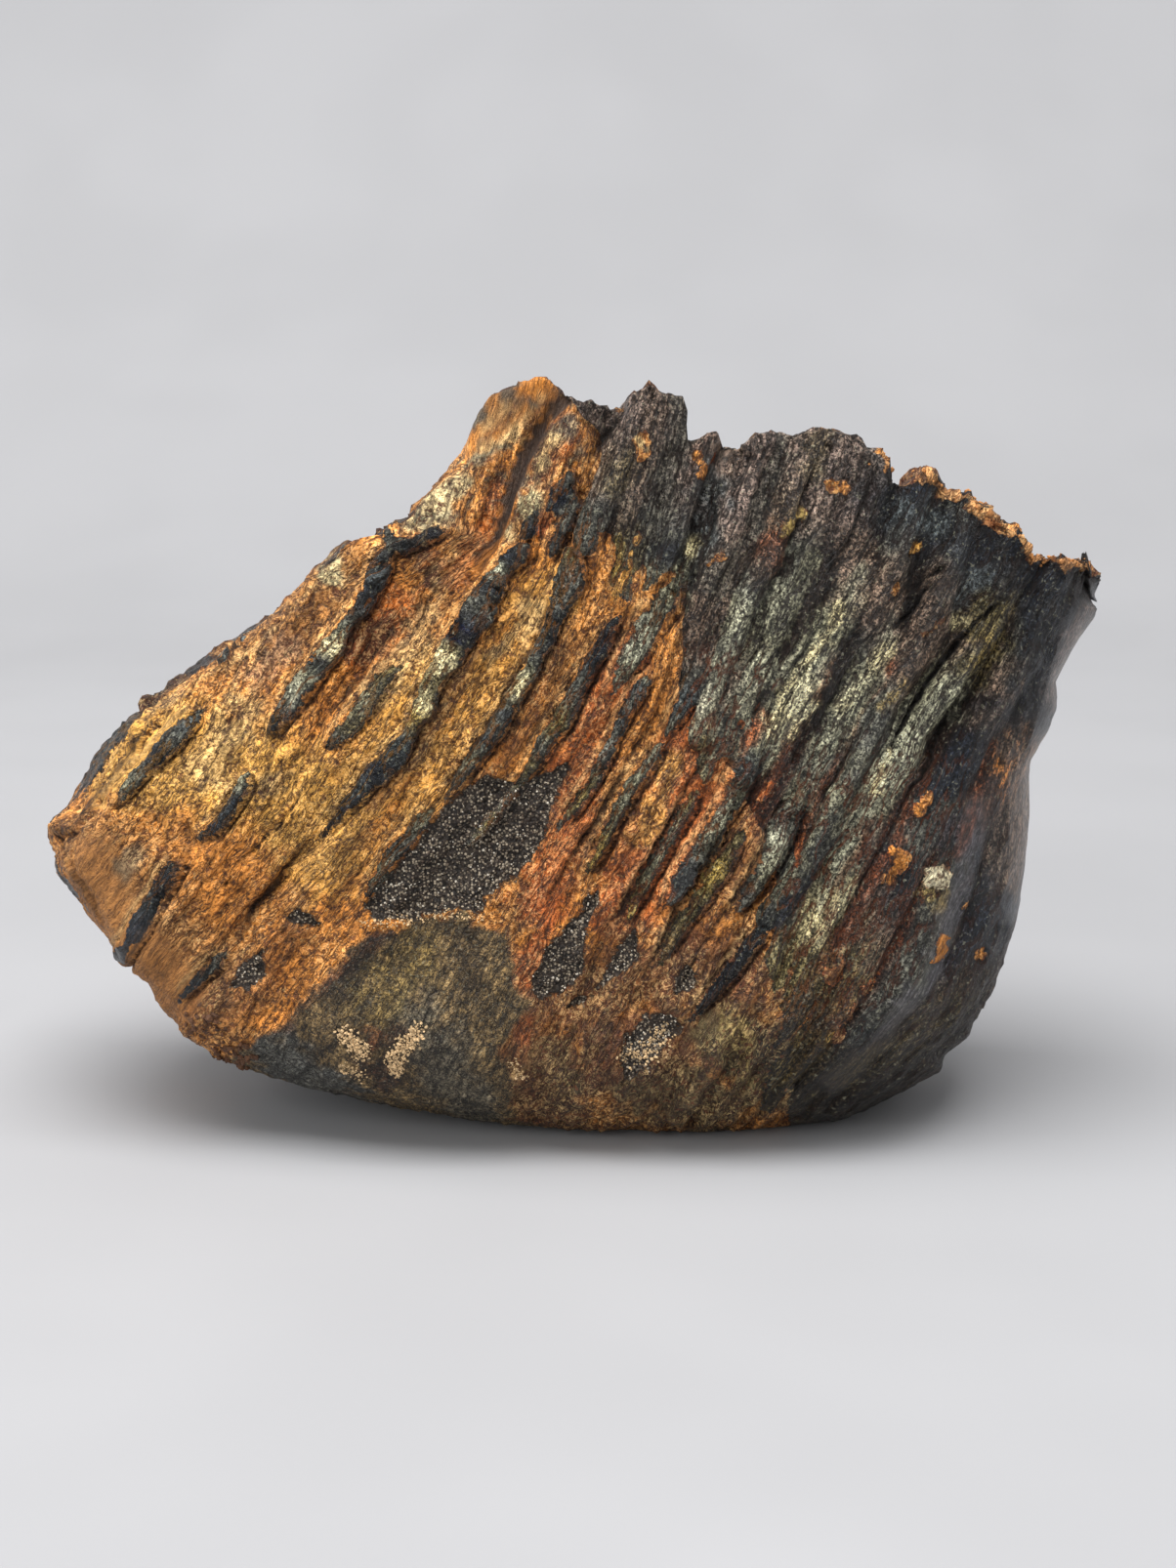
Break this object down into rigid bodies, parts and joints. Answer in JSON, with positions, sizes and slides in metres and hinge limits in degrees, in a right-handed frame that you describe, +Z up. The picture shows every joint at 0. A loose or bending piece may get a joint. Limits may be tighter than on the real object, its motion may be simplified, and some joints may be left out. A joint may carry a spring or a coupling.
{
  "type": "fossil mammoth molar",
  "caption": "Broken fossil crown of a mammoth cheek tooth: slanting enamel ridges bonded by dentine and cement, a ragged top, a rounded heel and a worn flat to rest on.",
  "frame": {"origin": "middle of the bounding box in plan, at the surface that the tooth rests on", "axes": "+X along the tooth from its thin broken end to its rounded heel, -Y out of the cheek side, +Z up from the worn flat to the broken crest"},
  "size_m": [0.2134, 0.09, 0.1536],
  "materials": {
    "molar": "mineralised dentine and cement, matt to satin, with glossy slate-blue enamel ridges"
  },
  "bodies": {
    "root": {"molar": "molar"}
  },
  "joints": []
}
